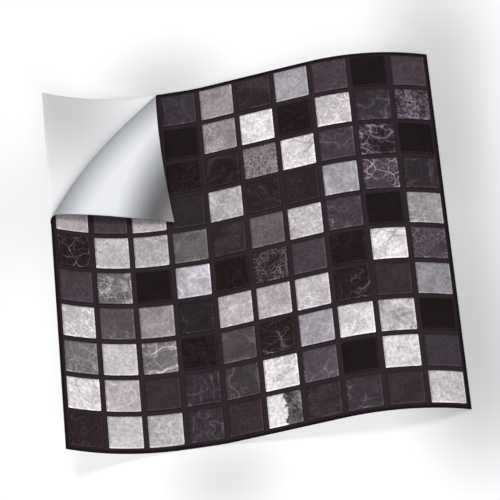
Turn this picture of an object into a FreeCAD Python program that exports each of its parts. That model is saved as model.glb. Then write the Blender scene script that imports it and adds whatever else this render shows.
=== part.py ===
import FreeCAD, Part
import math
import os

# Peel and stick backsplash tile: a flexible film that carries raised mosaic squares, still on its
# release liner. The sheet lies in a gentle wave, and one corner of the film is peeled off the
# liner and folded over. Millimetres. The origin is on the floor under the middle of the sheet,
# +X to the right edge, +Y to the far edge, +Z up.

# mosaic
COLUMNS = 10
ROWS = 10
SQUARE = 21.9
GROUT = 3.2
BORDER = 3.1
BEVEL = 0.5

# layers, from the floor up
LINER = 0.2
FILM = 0.5
SQUARE_RISE = 1.0

# wave along the width: a trough that rises to the left edge, then a crest that falls to the floor
LEFT_FALL = math.radians(38.4)
TROUGH_RADIUS = 111.0
REST_FLAT = 16.0
CLIMB = math.radians(9.6)
CREST_RADIUS = 117.0

# peeled corner, far left: how far from the corner the peel line meets the left and far edges
PEEL_LEFT = 97.5
PEEL_FAR = 80.6

# fold: it bows off the peel line, and is a tight turn whose radius swells to the line's middle,
# then a wide arch to the tip
FOLD_BOW = 3.6
FOLD_RADIUS_END = 2.6
FOLD_RADIUS_MIDDLE = 4.2
FOLD_TURN = math.radians(174.0)

# where the folded corner's tip comes down on the sheet, from the left and far edges, and how close
TIP_ACROSS = 80.6
TIP_DOWN = 96.6
TIP_GAP = 1.0

# stations at which the folded corner is worked out: along the peel line and past its ends, across
# it as turns round the fold and on into the arch in radians, along the free edges, and along a
# square's side
LINE_STATIONS = 25
LINE_OVERHANG = 6.0
FOLD_STATIONS = 9
ARCH_TURNS = (3.6, 5.0, 7.5, 10.5, 14.0, 18.0)
EDGE_STATIONS = 9
SIDE_STATIONS = 20
SQUARE_STATIONS = 5

SEW_GAP = 0.002
JOIN_GAP = 0.01
WALL_HEIGHT = 50.0
STEEPEST_DIP = math.radians(60.0)
DIP_GAP = 1e-12
LEAST_BOW = 1e-7

# stone of each square, far row first, left to right
STONES = (
    "kwpclblpkp",
    "wbgkgwbwcm",
    "bglkbgwcck",
    "lplclbbgcc",
    "kwlgbpgckl",
    "pgkwbkpbwc",
    "wplclglkpg",
    "glgkpkgwmk",
    "wlpcpmpkwp",
    "bllcpmbcpw",
)
STONE_NODES = {
    "w": "squares_white_marble",
    "l": "squares_pale_stone",
    "g": "squares_grey_marble",
    "m": "squares_breccia",
    "c": "squares_charcoal_stone",
    "p": "squares_plum_glass",
    "b": "squares_brown_marble",
    "k": "squares_black_stone",
}

WIDTH = 2 * BORDER + COLUMNS * SQUARE + (COLUMNS - 1) * GROUT
DEPTH = 2 * BORDER + ROWS * SQUARE + (ROWS - 1) * GROUT
PITCH = SQUARE + GROUT
FILM_TOP = LINER + FILM
SQUARE_TOP = FILM_TOP + SQUARE_RISE
SHOULDER = SQUARE_TOP - BEVEL


def rise_of(dip):
    """Net rise from the flat to the right edge, if the crest ends dipping by this angle."""
    run = crest_run(dip)
    trough = TROUGH_RADIUS * (1 - math.cos(CLIMB))
    crest = CREST_RADIUS * (math.cos(dip) - math.cos(CLIMB))
    return trough + run * math.sin(CLIMB) + crest


def crest_run(dip):
    """Length of the straight stretch between the trough and the crest."""
    trough = TROUGH_RADIUS * (LEFT_FALL + CLIMB) + REST_FLAT
    return WIDTH - trough - CREST_RADIUS * (CLIMB + dip)


def right_dip():
    """Angle at which the right edge meets the floor, so that the edge stands level with the flat."""
    low, high = 0.0, STEEPEST_DIP
    while high - low > DIP_GAP:
        middle = (low + high) / 2
        if rise_of(middle) > 0:
            low = middle
        else:
            high = middle
    return low


def wave_stretches():
    """The wave's stretches as start along the sheet, start point, start heading and curvature."""
    dip = right_dip()
    plan = (
        (TROUGH_RADIUS * LEFT_FALL, 1 / TROUGH_RADIUS),
        (REST_FLAT, 0.0),
        (TROUGH_RADIUS * CLIMB, 1 / TROUGH_RADIUS),
        (crest_run(dip), 0.0),
        (CREST_RADIUS * (CLIMB + dip), -1 / CREST_RADIUS),
    )
    stretches = []
    start, x, z, heading = 0.0, 0.0, 0.0, -LEFT_FALL
    for length, curvature in plan:
        stretches.append((start, x, z, heading, curvature))
        x, z, heading = along(x, z, heading, curvature, length)
        start += length
    return stretches, (x, z, heading)


def along(x, z, heading, curvature, length):
    """Point and heading after a length of constant curvature."""
    if curvature == 0.0:
        return x + length * math.cos(heading), z + length * math.sin(heading), heading
    turned = heading + curvature * length
    new_x = x + (math.sin(turned) - math.sin(heading)) / curvature
    new_z = z - (math.cos(turned) - math.cos(heading)) / curvature
    return new_x, new_z, turned


STRETCHES, RIGHT_END = wave_stretches()
RIGHT_REACH = RIGHT_END[0] - FILM_TOP * math.sin(RIGHT_END[2])
MIDDLE_X = RIGHT_REACH / 2
FLOOR_Z = RIGHT_END[1]


def place(across, down, lift):
    """Point of the waved sheet: across from the left edge, down from the far edge, up in the layers."""
    stretch = STRETCHES[0]
    for candidate in STRETCHES:
        if candidate[0] <= across:
            stretch = candidate
    start, x, z, heading, curvature = stretch
    x, z, heading = along(x, z, heading, curvature, across - start)
    x -= lift * math.sin(heading)
    z += lift * math.cos(heading)
    return FreeCAD.Vector(x - MIDDLE_X, DEPTH / 2 - down, z - FLOOR_Z)


def spread(first, last, count):
    """Evenly spaced values from first to last."""
    return [first + (last - first) * index / (count - 1) for index in range(count)]


def spline(points, parameters):
    """Cubic curve through points at given parameters."""
    curve = Part.BSplineCurve()
    curve.interpolate(Points=points, Parameters=parameters)
    return curve


def wave_edges(left, right, down, lift):
    """Exact arcs and lines of the wave between two places across the sheet."""
    breaks = [start for start, *_ in STRETCHES if left < start < right]
    ends = [left] + breaks + [right]
    edges = []
    for first, last in zip(ends, ends[1:]):
        points = [place(across, down, lift) for across in (first, (first + last) / 2, last)]
        bow = points[1].distanceToLine(points[0], points[2] - points[0])
        if bow < LEAST_BOW:
            edges.append(Part.LineSegment(points[0], points[2]).toShape())
        else:
            edges.append(Part.Arc(*points).toShape())
    return edges


def wave_spline(left, right, down, lift):
    """The same stretch of the wave as one smooth edge, for a piece that has to keep whole faces."""
    stations = spread(left, right, SQUARE_STATIONS)
    return [spline([place(across, down, lift) for across in stations], stations).toShape()]


def waved_plate(left, right, far, near, low, high, section=wave_edges):
    """A layer of the sheet as one solid, between places across, down and off the floor side."""
    edges = section(left, right, near, low)
    edges.append(Part.LineSegment(place(right, near, low), place(right, near, high)).toShape())
    edges += reversed(section(left, right, near, high))
    edges.append(Part.LineSegment(place(left, near, high), place(left, near, low)).toShape())
    profile = Part.Face(Part.Wire(edges))
    return profile.extrude(FreeCAD.Vector(0, near - far, 0))


PEEL_LENGTH = math.hypot(PEEL_LEFT, PEEL_FAR)
ALONG_ACROSS = PEEL_FAR / PEEL_LENGTH
ALONG_DOWN = -PEEL_LEFT / PEEL_LENGTH


def to_peel(across, down):
    """Distances along the peel line from the left edge, and from the line towards the corner."""
    along_line = across * ALONG_ACROSS + (down - PEEL_LEFT) * ALONG_DOWN
    beyond = across * ALONG_DOWN - (down - PEEL_LEFT) * ALONG_ACROSS
    return along_line, beyond


def from_peel(along_line, beyond):
    """Places across and down the sheet, from distances along and beyond the peel line."""
    across = along_line * ALONG_ACROSS + beyond * ALONG_DOWN
    down = PEEL_LEFT + along_line * ALONG_DOWN - beyond * ALONG_ACROSS
    return across, down


def swell(along_line):
    """0 at the ends of the peel line, 1 in its middle."""
    share = along_line / PEEL_LENGTH
    return 4 * share * (1 - share)


def fold_start(along_line):
    """How far beyond the peel line the film leaves the liner."""
    return FOLD_BOW * swell(along_line)


def fold_radius(along_line):
    """Radius of the fold's outer face, largest halfway along the peel line."""
    return FOLD_RADIUS_END + (FOLD_RADIUS_MIDDLE - FOLD_RADIUS_END) * swell(along_line)


CORNER_ALONG, CORNER_BEYOND = to_peel(0, 0)
TIP_ALONG, TIP_BEYOND = to_peel(TIP_ACROSS, TIP_DOWN)


def arch_to_tip():
    """Radius of the arch after the fold, and the turn it makes, so that the tip comes down in place."""
    radius = fold_radius(CORNER_ALONG)
    rest_height = 2 * FILM + SQUARE_RISE + TIP_GAP
    reach = radius * math.sin(FOLD_TURN) - TIP_BEYOND + fold_start(CORNER_ALONG)
    drop = radius * (1 - math.cos(FOLD_TURN)) - rest_height
    turn = 2 * (math.pi + math.atan2(drop, reach) - FOLD_TURN)
    return math.hypot(reach, drop) / (2 * math.sin(turn / 2)), turn


ARCH_RADIUS, ARCH_TURN = arch_to_tip()
FLAP_REACH = CORNER_BEYOND - fold_start(CORNER_ALONG)
FLAP_STRETCH = (fold_radius(CORNER_ALONG) * FOLD_TURN + ARCH_RADIUS * ARCH_TURN) / FLAP_REACH
FLAP_LEAN = (CORNER_ALONG - TIP_ALONG) / FLAP_REACH


def turn_at(along_line, beyond):
    """How far a place has gone round the fold, in radians."""
    return FLAP_STRETCH * (beyond - fold_start(along_line)) / fold_radius(along_line)


def folded(along_line, beyond, lift):
    """Point of the film's corner, peeled off the liner, turned over and laid back on the sheet."""
    peeled = beyond - fold_start(along_line)
    if peeled <= 0:
        return place(*from_peel(along_line, beyond), lift)
    radius = fold_radius(along_line)
    turn = turn_at(along_line, beyond)
    tight = min(turn, FOLD_TURN)
    reach = radius * math.sin(tight)
    height = radius * (1 - math.cos(tight))
    heading = tight + (turn - tight) * radius / ARCH_RADIUS
    reach += ARCH_RADIUS * (math.sin(heading) - math.sin(tight))
    height += ARCH_RADIUS * (math.cos(tight) - math.cos(heading))
    above_liner = lift - LINER
    reach -= above_liner * math.sin(heading)
    height += above_liner * math.cos(heading)
    start = fold_start(along_line)
    return place(*from_peel(along_line - FLAP_LEAN * peeled, start + reach), LINER + height)


def surface_through(points, first_values, second_values):
    """Smooth surface through a grid of points, at given parameters in both directions."""
    rows = [spline(row, second_values) for row in points]
    poles = range(1, rows[0].NbPoles + 1)
    columns = [spline([row.getPole(index) for row in rows], first_values) for index in poles]
    grid = [[column.getPole(index) for column in columns] for index in range(1, columns[0].NbPoles + 1)]
    surface = Part.BSplineSurface()
    surface.buildFromPolesMultsKnots(
        grid,
        columns[0].getMultiplicities(),
        rows[0].getMultiplicities(),
        columns[0].getKnots(),
        rows[0].getKnots(),
        False,
        False,
        columns[0].Degree,
        rows[0].Degree,
    )
    return surface


def sewn(faces):
    """Solid from faces that meet edge to edge."""
    shell = Part.makeShell(faces)
    shell.sewShape(SEW_GAP)
    solid = Part.makeSolid(shell)
    if solid.Volume < 0:
        solid.reverse()
    return solid


def flap_face(lift):
    """The peeled corner's face at one height in the film, and its edges: two free ones, the fold's."""
    stations = spread(-LINE_OVERHANG, PEEL_LENGTH + LINE_OVERHANG, LINE_STATIONS)
    turns = [*spread(0, FOLD_TURN, FOLD_STATIONS), *ARCH_TURNS]
    points = []
    for station in stations:
        start, unit = fold_start(station), fold_radius(station) / FLAP_STRETCH
        points.append([folded(station, start + turn * unit, lift) for turn in turns])
    surface = surface_through(points, stations, turns)
    edges = []
    for ends in (((0, PEEL_LEFT), (0, 0)), ((0, 0), (PEEL_FAR, 0))):
        marks = []
        for spot in zip(*(spread(first, last, EDGE_STATIONS) for first, last in zip(*ends))):
            along_line, beyond = to_peel(*spot)
            marks.append(FreeCAD.Base.Vector2d(along_line, turn_at(along_line, beyond)))
        free = Part.Geom2d.BSplineCurve2d()
        free.interpolate(marks)
        edges.append(free.toShape(surface))
    ends = FreeCAD.Base.Vector2d(PEEL_LENGTH, 0), FreeCAD.Base.Vector2d(0, 0)
    edges.append(Part.Geom2d.Line2dSegment(*ends).toShape(surface))
    return Part.Face(surface, Part.Wire(edges)), edges


def film():
    """The printed film, one piece: the sheet up to the fold, and its corner folded over."""
    stations = spread(-LINE_OVERHANG, PEEL_LENGTH + LINE_OVERHANG, LINE_STATIONS)
    lines = []
    for lift in (-WALL_HEIGHT, WALL_HEIGHT):
        points = [folded(station, fold_start(station), lift) for station in stations]
        lines.append(spline(points, stations).toShape())
    wall = Part.makeRuledSurface(*lines, 1)
    towards_corner = FreeCAD.Vector(-PEEL_LEFT, PEEL_FAR, 0)
    sheet = waved_plate(0, WIDTH, 0, DEPTH, LINER, FILM_TOP)
    under, under_edges = flap_face(LINER)
    over, over_edges = flap_face(FILM_TOP)
    sides = [Part.makeRuledSurface(*pair, 1) for pair in zip(under_edges, over_edges)]
    flap = sewn([under, over, *sides])
    return sheet.cut(wall.extrude(towards_corner)).fuse([flap], JOIN_GAP)


def folded_ring(left, far, inset, lift):
    """Face and edges of a square in the folded corner, at one height and drawn in by an inset."""
    shares = spread(0, 1, SIDE_STATIONS)
    across = spread(left + inset, left + SQUARE - inset, SIDE_STATIONS)
    down = spread(far + inset, far + SQUARE - inset, SIDE_STATIONS)
    points = [[folded(*to_peel(right, near), lift) for near in down] for right in across]
    sides = [points[0], points[-1], [row[0] for row in points], [row[-1] for row in points]]
    edges = [spline(side, shares).toShape() for side in sides]
    return surface_through(points, shares, shares).toShape(), edges


def mosaic_square(column, row):
    """One raised square with bevelled top edges, on the waved sheet or in the folded corner."""
    left, far = BORDER + column * PITCH, BORDER + row * PITCH
    along_line, beyond = to_peel(left, far)
    if beyond > fold_start(along_line):
        plan = ((0, FILM_TOP), (0, SHOULDER), (BEVEL, SQUARE_TOP))
        rings = [folded_ring(left, far, *ring) for ring in plan]
        faces = [rings[0][0], rings[-1][0]]
        for (_, lower), (_, upper) in zip(rings, rings[1:]):
            faces += [Part.makeRuledSurface(*pair, 1) for pair in zip(lower, upper)]
        return sewn(faces)
    block = waved_plate(left, left + SQUARE, far, far + SQUARE, FILM_TOP, SQUARE_TOP, wave_spline)
    centre = Part.Vertex(place(left + SQUARE / 2, far + SQUARE / 2, SQUARE_TOP))
    top = min(block.Faces, key=lambda face: face.distToShape(centre)[0])
    return block.makeChamfer(BEVEL, top.Edges)


def squares():
    """All mosaic squares, grouped by stone."""
    groups = {}
    for row in range(ROWS):
        for column in range(COLUMNS):
            stone = STONES[row][column]
            groups.setdefault(STONE_NODES[stone], []).append(mosaic_square(column, row))
    return {node: Part.makeCompound(solids) for node, solids in groups.items()}


def main():
    """Write one file for each node."""
    os.makedirs("parts", exist_ok=True)
    nodes = {"release_liner": waved_plate(0, WIDTH, 0, DEPTH, 0, LINER), "film": film()}
    nodes.update(squares())
    for node, shape in nodes.items():
        shape.exportStep("parts/" + node + ".step")


main()
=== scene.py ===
import math
import random

import bmesh
import bpy
from mathutils import Matrix, Vector

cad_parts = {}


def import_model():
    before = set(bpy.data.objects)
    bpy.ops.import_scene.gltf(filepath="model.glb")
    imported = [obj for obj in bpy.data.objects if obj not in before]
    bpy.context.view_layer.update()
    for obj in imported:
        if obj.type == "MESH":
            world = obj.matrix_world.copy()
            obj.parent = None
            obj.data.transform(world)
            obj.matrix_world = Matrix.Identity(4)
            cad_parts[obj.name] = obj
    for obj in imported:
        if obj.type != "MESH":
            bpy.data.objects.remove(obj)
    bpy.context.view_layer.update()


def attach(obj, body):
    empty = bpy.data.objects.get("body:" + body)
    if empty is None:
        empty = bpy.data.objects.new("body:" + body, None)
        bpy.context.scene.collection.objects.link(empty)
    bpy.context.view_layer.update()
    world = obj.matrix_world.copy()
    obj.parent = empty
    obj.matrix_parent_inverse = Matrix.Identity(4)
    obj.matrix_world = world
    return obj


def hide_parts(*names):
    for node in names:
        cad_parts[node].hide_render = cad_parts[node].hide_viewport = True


# Peel and stick backsplash tile: a waved film with a hundred raised squares on its release liner,
# one corner of the film peeled off and folded over. The sheet's values are in millimetres, as in
# the part's source; a mesh is in metres.

MM = 0.001

# mosaic
COLUMNS = 10
ROWS = 10
SQUARE = 21.9
GROUT = 3.2
BORDER = 3.1
PITCH = SQUARE + GROUT
WIDTH = 2 * BORDER + COLUMNS * SQUARE + (COLUMNS - 1) * GROUT
DEPTH = 2 * BORDER + ROWS * SQUARE + (ROWS - 1) * GROUT

# layers, and the round of their edges, at most one of EDGE_PARTS parts of a layer
LINER = 0.2
FILM = 0.5
SQUARE_RISE = 1.0
FILM_TOP = LINER + FILM
SQUARE_TOP = FILM_TOP + SQUARE_RISE
EDGE_ROUND = 0.09
EDGE_PARTS = 3

# wave
LEFT_FALL = math.radians(38.4)
TROUGH_RADIUS = 111.0
REST_FLAT = 16.0
CLIMB = math.radians(9.6)
CREST_RADIUS = 117.0

# peeled corner
PEEL_LEFT = 97.5
PEEL_FAR = 80.6
FOLD_BOW = 5.4
FOLD_RADIUS_END = 2.0
FOLD_RADIUS_MIDDLE = 3.4
FOLD_TURN = math.radians(174.0)
TIP_ACROSS = 80.6
TIP_DOWN = 96.6
TIP_GAP = 1.0

# gel squares: rounded plan corners, a rolled top edge, a slight dome, how deep they stand in the
# film, cells across one of them, flat or in the fold, and the outer faces that show no print
CORNER_ROUND = 0.9
ROLL = 0.6
ROLL_STEPS = 5
DOME = 0.12
SINK = 0.05
CELLS = 8
FOLDED_CELLS = 26
EDGE_FACES = 2


def rise_of(dip):
    """Net rise from the flat to the right edge, if the crest ends dipping by this angle."""
    trough = TROUGH_RADIUS * (1 - math.cos(CLIMB))
    crest = CREST_RADIUS * (math.cos(dip) - math.cos(CLIMB))
    return trough + crest_run(dip) * math.sin(CLIMB) + crest


def crest_run(dip):
    """Length of the straight stretch between the trough and the crest."""
    trough = TROUGH_RADIUS * (LEFT_FALL + CLIMB) + REST_FLAT
    return WIDTH - trough - CREST_RADIUS * (CLIMB + dip)


STEEPEST_DIP = math.radians(60.0)
DIP_STEPS = 50


def right_dip():
    """Angle at which the right edge meets the floor."""
    low, high = 0.0, STEEPEST_DIP
    for _ in range(DIP_STEPS):
        middle = (low + high) / 2
        if rise_of(middle) > 0:
            low = middle
        else:
            high = middle
    return low


def along(x, z, heading, curvature, length):
    """Point and heading after a length of constant curvature."""
    if curvature == 0.0:
        return x + length * math.cos(heading), z + length * math.sin(heading), heading
    turned = heading + curvature * length
    new_x = x + (math.sin(turned) - math.sin(heading)) / curvature
    new_z = z - (math.cos(turned) - math.cos(heading)) / curvature
    return new_x, new_z, turned


def wave_stretches():
    """The wave's stretches as start along the sheet, start point, start heading and curvature."""
    dip = right_dip()
    plan = (
        (TROUGH_RADIUS * LEFT_FALL, 1 / TROUGH_RADIUS),
        (REST_FLAT, 0.0),
        (TROUGH_RADIUS * CLIMB, 1 / TROUGH_RADIUS),
        (crest_run(dip), 0.0),
        (CREST_RADIUS * (CLIMB + dip), -1 / CREST_RADIUS),
    )
    stretches = []
    start, x, z, heading = 0.0, 0.0, 0.0, -LEFT_FALL
    for length, curvature in plan:
        stretches.append((start, x, z, heading, curvature))
        x, z, heading = along(x, z, heading, curvature, length)
        start += length
    return stretches, (x, z, heading)


STRETCHES, RIGHT_END = wave_stretches()
RIGHT_REACH = RIGHT_END[0] - FILM_TOP * math.sin(RIGHT_END[2])
MIDDLE_X = RIGHT_REACH / 2
FLOOR_Z = RIGHT_END[1]


def place(across, down, lift):
    """Point of the waved sheet, in metres, for a place across, down and up in the layers."""
    stretch = STRETCHES[0]
    for candidate in STRETCHES:
        if candidate[0] <= across:
            stretch = candidate
    start, x, z, heading, curvature = stretch
    x, z, heading = along(x, z, heading, curvature, across - start)
    x -= lift * math.sin(heading)
    z += lift * math.cos(heading)
    return Vector((x - MIDDLE_X, DEPTH / 2 - down, z - FLOOR_Z)) * MM


PEEL_LENGTH = math.hypot(PEEL_LEFT, PEEL_FAR)
ALONG_ACROSS = PEEL_FAR / PEEL_LENGTH
ALONG_DOWN = -PEEL_LEFT / PEEL_LENGTH


def to_peel(across, down):
    """Distances along the peel line from the left edge, and from the line towards the corner."""
    along_line = across * ALONG_ACROSS + (down - PEEL_LEFT) * ALONG_DOWN
    beyond = across * ALONG_DOWN - (down - PEEL_LEFT) * ALONG_ACROSS
    return along_line, beyond


def from_peel(along_line, beyond):
    """Places across and down the sheet, from distances along and beyond the peel line."""
    across = along_line * ALONG_ACROSS + beyond * ALONG_DOWN
    down = PEEL_LEFT + along_line * ALONG_DOWN - beyond * ALONG_ACROSS
    return across, down


def swell(along_line):
    """0 at the ends of the peel line, 1 in its middle."""
    share = along_line / PEEL_LENGTH
    return 4 * share * (1 - share)


def fold_start(along_line):
    """How far beyond the peel line the film leaves the liner."""
    return FOLD_BOW * swell(along_line)


def fold_radius(along_line):
    """Radius of the fold's outer face, largest halfway along the peel line."""
    return FOLD_RADIUS_END + (FOLD_RADIUS_MIDDLE - FOLD_RADIUS_END) * swell(along_line)


CORNER_ALONG, CORNER_BEYOND = to_peel(0, 0)
TIP_ALONG, TIP_BEYOND = to_peel(TIP_ACROSS, TIP_DOWN)


def arch_to_tip():
    """Radius and turn of the arch after the fold, so that the tip comes down in its place."""
    radius = fold_radius(CORNER_ALONG)
    rest_height = 2 * FILM + SQUARE_RISE + TIP_GAP
    reach = radius * math.sin(FOLD_TURN) - TIP_BEYOND + fold_start(CORNER_ALONG)
    drop = radius * (1 - math.cos(FOLD_TURN)) - rest_height
    turn = 2 * (math.pi + math.atan2(drop, reach) - FOLD_TURN)
    return math.hypot(reach, drop) / (2 * math.sin(turn / 2)), turn


ARCH_RADIUS, ARCH_TURN = arch_to_tip()
FLAP_REACH = CORNER_BEYOND - fold_start(CORNER_ALONG)
FLAP_STRETCH = (fold_radius(CORNER_ALONG) * FOLD_TURN + ARCH_RADIUS * ARCH_TURN) / FLAP_REACH
FLAP_LEAN = (CORNER_ALONG - TIP_ALONG) / FLAP_REACH


def folded(across, down, lift):
    """Point of the film, in metres: on the liner, or in the corner that is folded over."""
    along_line, beyond = to_peel(across, down)
    start = fold_start(along_line)
    peeled = beyond - start
    if peeled <= 0:
        return place(across, down, lift)
    radius = fold_radius(along_line)
    turn = FLAP_STRETCH * peeled / radius
    tight = min(turn, FOLD_TURN)
    reach = radius * math.sin(tight)
    height = radius * (1 - math.cos(tight))
    heading = tight + (turn - tight) * radius / ARCH_RADIUS
    reach += ARCH_RADIUS * (math.sin(heading) - math.sin(tight))
    height += ARCH_RADIUS * (math.cos(tight) - math.cos(heading))
    above_liner = lift - LINER
    reach -= above_liner * math.sin(heading)
    height += above_liner * math.cos(heading)
    return place(*from_peel(along_line - FLAP_LEAN * peeled, start + reach), LINER + height)


# cells of the sheet's mesh across the wave, round the fold and in the arch, and how near two of
# its points are to be joined
SHEET_CELL = 2.5
FOLD_ROW = 0.45
ARCH_ROW = 2.6
SEAM = 1e-4


def spread(first, last, count):
    """Evenly spaced values from first to last."""
    return [first + (last - first) * index / (count - 1) for index in range(count)]


def flat_sheet(with_corner_fold):
    """The sheet laid out flat as places and faces, its rounded edge left off all round."""
    sheet = bmesh.new()
    left, right = EDGE_ROUND, WIDTH - EDGE_ROUND
    far, near = EDGE_ROUND, DEPTH - EDGE_ROUND
    count = int(WIDTH / SHEET_CELL) + 1
    grid = [
        [sheet.verts.new((x, y, 0)) for x in spread(left, right, count)]
        for y in spread(far, near, count)
    ]
    for first, second in zip(grid, grid[1:]):
        for index in range(count - 1):
            sheet.faces.new((first[index], first[index + 1], second[index + 1], second[index]))
    if with_corner_fold:
        towards_corner = Vector((ALONG_DOWN, -ALONG_ACROSS, 0))
        cut = bmesh.ops.bisect_plane(
            sheet,
            geom=sheet.verts[:] + sheet.edges[:] + sheet.faces[:],
            plane_co=Vector((0, PEEL_LEFT, 0)),
            plane_no=towards_corner,
            clear_outer=True,
        )
        seam = [part for part in cut["geom_cut"] if isinstance(part, bmesh.types.BMVert)]
        add_corner(sheet, sorted(to_peel(*vert.co.xy)[0] for vert in seam))
        bmesh.ops.remove_doubles(sheet, verts=sheet.verts[:], dist=SEAM)
    sheet.verts.index_update()
    places = [tuple(vert.co.xy) for vert in sheet.verts]
    faces = [[vert.index for vert in face.verts] for face in sheet.faces]
    rim = [
        tuple(loop.vert.index for loop in (edge.link_loops[0], edge.link_loops[0].link_loop_next))
        for edge in sheet.edges
        if len(edge.link_faces) == 1
    ]
    sheet.free()
    return places, faces, rim


def add_corner(sheet, seam):
    """The peeled corner as rows of cells along the peel line, closing in to the corner."""
    shares = [(place_on - seam[0]) / (seam[-1] - seam[0]) for place_on in seam]
    tight = FOLD_BOW + FOLD_RADIUS_MIDDLE * FOLD_TURN / FLAP_STRETCH
    corner_along, corner_beyond = to_peel(EDGE_ROUND, EDGE_ROUND)
    beyonds = spread(0.0, tight, int(tight / FOLD_ROW))
    beyonds += spread(tight, corner_beyond, int((corner_beyond - tight) / ARCH_ROW))[1:-1]
    rows = []
    for beyond in beyonds:
        closing = beyond / corner_beyond
        start = seam[0] + (corner_along - seam[0]) * closing
        end = seam[-1] + (corner_along - seam[-1]) * closing
        row = [from_peel(start + (end - start) * share, beyond) for share in shares]
        rows.append([sheet.verts.new((*spot, 0)) for spot in row])
    for first, second in zip(rows, rows[1:]):
        for index in range(len(shares) - 1):
            sheet.faces.new((first[index], second[index], second[index + 1], first[index + 1]))
    tip = sheet.verts.new((*from_peel(corner_along, corner_beyond), 0))
    for one, two in zip(rows[-1], rows[-1][1:]):
        sheet.faces.new((one, tip, two))


def outward(across, down):
    """The place on the sheet's outline beside a place on the rim."""
    if across < 2 * EDGE_ROUND:
        across -= EDGE_ROUND
    if across > WIDTH - 2 * EDGE_ROUND:
        across += EDGE_ROUND
    if down < 2 * EDGE_ROUND:
        down -= EDGE_ROUND
    if down > DEPTH - 2 * EDGE_ROUND:
        down += EDGE_ROUND
    return across, down


def layer(name, low, high, shape, with_corner_fold, materials):
    """One layer of the sheet as a mesh: top, underside and a rounded edge between them."""
    places, faces, rim = flat_sheet(with_corner_fold)
    count = len(places)
    points = [shape(*spot, low) for spot in places]
    points += [shape(*spot, high) for spot in places]
    rim_places = sorted({index for edge in rim for index in edge})
    edge_round = min(EDGE_ROUND, (high - low) / EDGE_PARTS)
    ring_of = {}
    for lift in (low + edge_round, high - edge_round):
        for index in rim_places:
            ring_of[index, lift] = len(points)
            points.append(shape(*outward(*places[index]), lift))
    polygons, slots = [], []
    for face in faces:
        polygons.append(face)
        slots.append(1)
        polygons.append([index + count for index in reversed(face)])
        slots.append(0)
    for one, two in rim:
        lower, upper = low + edge_round, high - edge_round
        strip = (
            ((one, two), (ring_of[one, lower], ring_of[two, lower]), 1),
            ((ring_of[one, lower], ring_of[two, lower]), (ring_of[one, upper], ring_of[two, upper]), 0),
            ((ring_of[one, upper], ring_of[two, upper]), (one + count, two + count), 0),
        )
        for below, above, slot in strip:
            polygons.append([below[1], below[0], above[0], above[1]])
            slots.append(slot)
    piece = mesh_object(name, points, polygons, materials)
    piece.data.polygons.foreach_set("material_index", slots)
    spots = [value for spot in places for value in (spot[0], spot[1], 0.0)]
    spots += spots
    spots += [value for index in rim_places * 2 for value in (*places[index], 0.0)]
    keep_places(piece, "sheet_place", spots)
    return piece


def mesh_object(name, points, polygons, materials):
    """A smooth-shaded object from points and polygons, which run anticlockwise seen from outside."""
    mesh = bpy.data.meshes.new(name)
    mesh.from_pydata(points, [], polygons)
    for material in materials:
        mesh.materials.append(material)
    mesh.polygons.foreach_set("use_smooth", [True] * len(mesh.polygons))
    mesh.update()
    piece = bpy.data.objects.new(name, mesh)
    bpy.context.scene.collection.objects.link(piece)
    return piece


def keep_places(piece, name, spots):
    """Keep a place in millimetres for each vertex, for the materials."""
    attribute = piece.data.attributes.new(name, "FLOAT_VECTOR", "POINT")
    attribute.data.foreach_set("vector", spots)


def square_stations(cells):
    """Offsets from a square's middle: close in the rolled edges, even between them."""
    half = SQUARE / 2
    insets = [ROLL * (1 - math.cos(turn)) for turn in spread(0, math.pi / 2, ROLL_STEPS + 1)]
    rolled = [-half + inset for inset in insets]
    inner = spread(rolled[-1], -rolled[-1], cells + 1)
    return rolled[:-1] + inner + [-value for value in reversed(rolled[:-1])]


def round_corner(side, other, half, radius):
    """A point of a square ring moved onto the ring's rounded corner."""
    straight = half - radius
    reach = abs(other)
    if radius <= 0 or reach <= straight:
        return side, other
    turn = math.pi / 4 * (reach - straight) / radius
    new_side = straight + radius * math.cos(turn)
    new_other = straight + radius * math.sin(turn)
    return math.copysign(new_side, side), math.copysign(new_other, other)


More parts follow.
